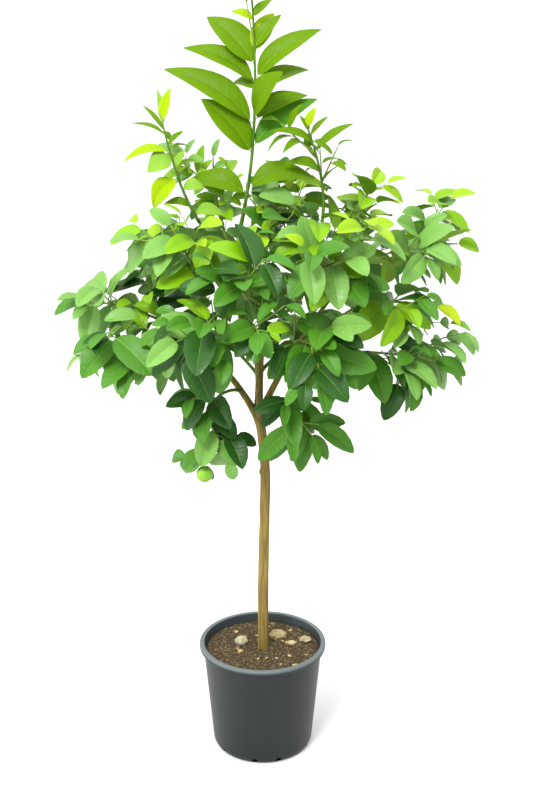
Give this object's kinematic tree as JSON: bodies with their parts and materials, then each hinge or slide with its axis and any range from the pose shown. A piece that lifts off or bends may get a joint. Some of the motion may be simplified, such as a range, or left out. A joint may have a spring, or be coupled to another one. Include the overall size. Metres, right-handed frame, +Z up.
{
  "type": "potted bergamot orange tree",
  "caption": "Young citrus tree in a round nursery pot: a slender bare trunk, an open rounded crown of glossy leaves and one tall leafy leader rising from it.",
  "frame": {"origin": "centre of the pot's flat underside, on the surface it stands on", "axes": "+Z up along the trunk, -Y towards the front of the picture, +X to its right"},
  "size_m": [0.7323, 0.6002, 1.4579],
  "materials": {
    "pot_plastic": "satin dark grey moulded plastic",
    "soil": "crumbly dry potting soil",
    "pale_stone": "rough pale stone",
    "bark": "smooth tan bark with fine grain",
    "green_bark": "smooth young green-brown bark",
    "leaves": "glossy green leaves",
    "leader_leaves": "glossy fresh yellow-green leaves"
  },
  "bodies": {
    "root": {"pot": "pot_plastic", "soil": "soil", "stone_pale": "pale_stone", "stone_flake_back": "pale_stone", "stone_flake_middle": "pale_stone", "stone_flake_right": "pale_stone", "trunk": "bark", "bough_centre": "green_bark", "bough_left": "green_bark", "bough_right": "green_bark", "bough_back": "green_bark", "bough_front": "green_bark", "bough_leader": "green_bark", "bough_left_shoot": "green_bark", "bough_left_upper": "green_bark", "bough_left_lower": "green_bark", "bough_low_left": "green_bark", "bough_front_left": "green_bark", "bough_top_left": "green_bark", "bough_back_left": "green_bark", "bough_back_low_left": "green_bark", "bough_back_low_right": "green_bark", "bough_back_right": "green_bark", "bough_back_high": "green_bark", "bough_front_high": "green_bark", "bough_front_top": "green_bark", "bough_front_right": "green_bark", "bough_low_right": "green_bark", "bough_right_lower": "green_bark", "bough_right_middle": "green_bark", "bough_right_high": "green_bark", "bough_right_shoot": "green_bark", "foliage_leader": "leader_leaves", "foliage_left_shoot": "leaves", "foliage_left_upper": "leaves", "foliage_left": "leaves", "foliage_left_lower": "leaves", "foliage_low_left": "leaves", "foliage_front_left": "leaves", "foliage_front": "leaves", "foliage_front_high": "leaves", "foliage_front_right": "leaves", "foliage_low_right": "leaves", "foliage_right_lower": "leaves", "foliage_right_middle": "leaves", "foliage_right": "leaves", "foliage_right_high": "leaves", "foliage_right_shoot": "leaves", "foliage_centre": "leaves", "foliage_top_left": "leaves", "foliage_front_top": "leaves", "foliage_back_left": "leaves", "foliage_back": "leaves", "foliage_back_right": "leaves", "foliage_back_low_left": "leaves", "foliage_back_low_right": "leaves", "foliage_back_high": "leaves"}
  },
  "joints": []
}
